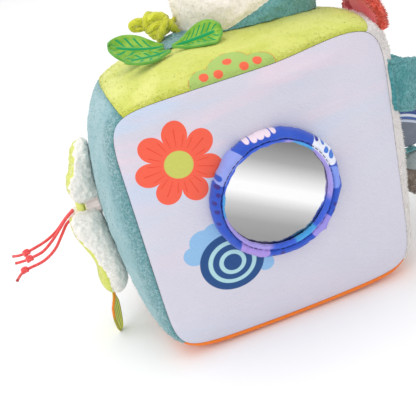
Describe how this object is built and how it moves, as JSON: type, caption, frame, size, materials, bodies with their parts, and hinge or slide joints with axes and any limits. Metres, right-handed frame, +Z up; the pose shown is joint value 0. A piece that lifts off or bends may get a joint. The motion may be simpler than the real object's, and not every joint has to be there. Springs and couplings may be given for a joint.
{
  "type": "soft activity block",
  "caption": "Soft stuffed fabric activity block for a baby, with a round safety mirror, a stuffed flower with knotted cords, cloth leaves, a plush cushion, a grab loop, tags and a hanging pod.",
  "frame": {"origin": "middle of the flat face that the block rests on", "axes": "+Z up, the mirror side faces -Y, the grab loop is on +X and the flower on -X"},
  "size_m": [0.2608, 0.1374, 0.2071],
  "materials": {
    "foam_white": "open-cell foam",
    "lilac_satin": "soft shimmering satin",
    "blue_cotton": "woven cotton",
    "teal_velour": "short-pile velour",
    "cream_plush": "soft plush",
    "lime_velour": "short-pile velour",
    "orange_cotton": "woven cotton",
    "mirror_film": "flexible safety mirror",
    "grey_felt": "felt pad",
    "blue_binding": "rolled woven binding",
    "leaf_cloth": "printed cotton",
    "jersey_lime": "jersey cord",
    "pink_satin": "satin",
    "coral_boucle": "looped boucle plush",
    "coral_cord": "twisted cord",
    "grey_satin": "printed satin ribbon",
    "taupe_boucle": "looped boucle plush"
  },
  "bodies": {
    "block": {"foam_core": "foam_white", "front_panel": "lilac_satin", "back_panel": "blue_cotton", "right_panel": "cream_plush", "top_panel": "lime_velour", "left_panel": "teal_velour", "bottom_panel": "orange_cotton", "mirror_backing": "grey_felt", "mirror_disc": "mirror_film", "mirror_binding": "blue_binding", "cushion_tab": "teal_velour", "flower_neck": "pink_satin", "flower_button": "lime_velour", "handle_end_front": "teal_velour", "handle_end_back": "teal_velour", "pod_tab": "teal_velour"},
    "leaf_left": {"leaf_left": "leaf_cloth"},
    "leaf_front": {"leaf_front": "leaf_cloth"},
    "leaf_right": {"leaf_right": "leaf_cloth"},
    "knot": {"jersey_knot": "jersey_lime"},
    "cushion": {"cushion_top": "cream_plush", "cushion_base": "teal_velour"},
    "petal_upper": {"petal_upper_padding": "cream_plush", "petal_upper_face": "lime_velour"},
    "petal_lower": {"petal_lower_padding": "cream_plush", "petal_lower_face": "lime_velour", "stamen_cord_1": "coral_cord", "stamen_cord_2": "coral_cord", "stamen_cord_3": "coral_cord", "stamen_knot_1": "coral_cord", "stamen_knot_2": "coral_cord", "stamen_knot_3": "coral_cord"},
    "petal_back": {"petal_back_padding": "cream_plush", "petal_back_face": "lime_velour"},
    "leaf_tag": {"flower_leaf_tag": "leaf_cloth"},
    "handle": {"handle_loop": "teal_velour"},
    "flap": {"flap_lining": "pink_satin", "flap_shell": "coral_boucle"},
    "ribbon": {"ribbon_tag": "grey_satin"},
    "pod": {"pod_cap": "teal_velour", "pod_body": "taupe_boucle"}
  },
  "joints": [
    {"name": "leaf_left_lift", "type": "hinge", "parent": "block", "child": "leaf_left", "pos_m": [-0.0267, -0.0151, 0.1565], "axis": [0.139, 0.9903, 0], "range_deg": [0, 20], "stiffness_Nm_per_rad": 0.002},
    {"name": "leaf_front_lift", "type": "hinge", "parent": "block", "child": "leaf_front", "pos_m": [-0.026, -0.0249, 0.1563], "axis": [-0.208, 0.9781, 0], "range_deg": [0, 20], "stiffness_Nm_per_rad": 0.002},
    {"name": "leaf_right_lift", "type": "hinge", "parent": "block", "child": "leaf_right", "pos_m": [-0.0262, -0.0225, 0.1578], "axis": [-0.2921, -0.9564, 0], "range_deg": [0, 20], "stiffness_Nm_per_rad": 0.002},
    {"name": "knot_swing", "type": "hinge", "parent": "block", "child": "knot", "pos_m": [-0.0156, 0.0014, 0.157], "axis": [0, 0, 1], "range_deg": [-12, 0], "stiffness_Nm_per_rad": 0.002},
    {"name": "cushion_tilt", "type": "hinge", "parent": "block", "child": "cushion", "pos_m": [0.024, 0.0271, 0.1495], "axis": [-1, 0, 0], "range_deg": [0, 35], "stiffness_Nm_per_rad": 0.2},
    {"name": "petal_upper_lift", "type": "hinge", "parent": "block", "child": "petal_upper", "pos_m": [-0.0976, 0.0017, 0.0894], "axis": [0, -0.9781, 0.208], "range_deg": [0, 35], "stiffness_Nm_per_rad": 0.08},
    {"name": "petal_lower_lift", "type": "hinge", "parent": "block", "child": "petal_lower", "pos_m": [-0.1026, 0, 0.082], "axis": [0, 0.9903, -0.139], "range_deg": [0, 30], "stiffness_Nm_per_rad": 0.08},
    {"name": "petal_back_lift", "type": "hinge", "parent": "block", "child": "petal_back", "pos_m": [-0.0956, 0.0082, 0.0829], "axis": [0, -0.1045, 0.9945], "range_deg": [0, 35], "stiffness_Nm_per_rad": 0.08},
    {"name": "leaf_tag_swing", "type": "hinge", "parent": "petal_lower", "child": "leaf_tag", "pos_m": [-0.0939, -0.0077, 0.0272], "axis": [0, 1, 0], "range_deg": [-20, 50], "stiffness_Nm_per_rad": 0.0005},
    {"name": "handle_lift", "type": "hinge", "parent": "block", "child": "handle", "pos_m": [0.08269, 0, 0.11026], "axis": [0, -1, 0], "range_deg": [-10, 20], "stiffness_Nm_per_rad": 0.05},
    {"name": "flap_fold", "type": "hinge", "parent": "block", "child": "flap", "pos_m": [0.0767, -0.031, 0.1393], "axis": [0, 1, 0], "range_deg": [0, 35], "stiffness_Nm_per_rad": 0.01},
    {"name": "ribbon_turn", "type": "hinge", "parent": "block", "child": "ribbon", "pos_m": [0.0866, -0.018, 0.074], "axis": [0, 0, 1], "range_deg": [-20, 20], "stiffness_Nm_per_rad": 0.002},
    {"name": "pod_swing", "type": "hinge", "parent": "block", "child": "pod", "pos_m": [0.10015, -0.02, 0.05505], "axis": [0, -1, 0], "range_deg": [-10, 35]}
  ]
}
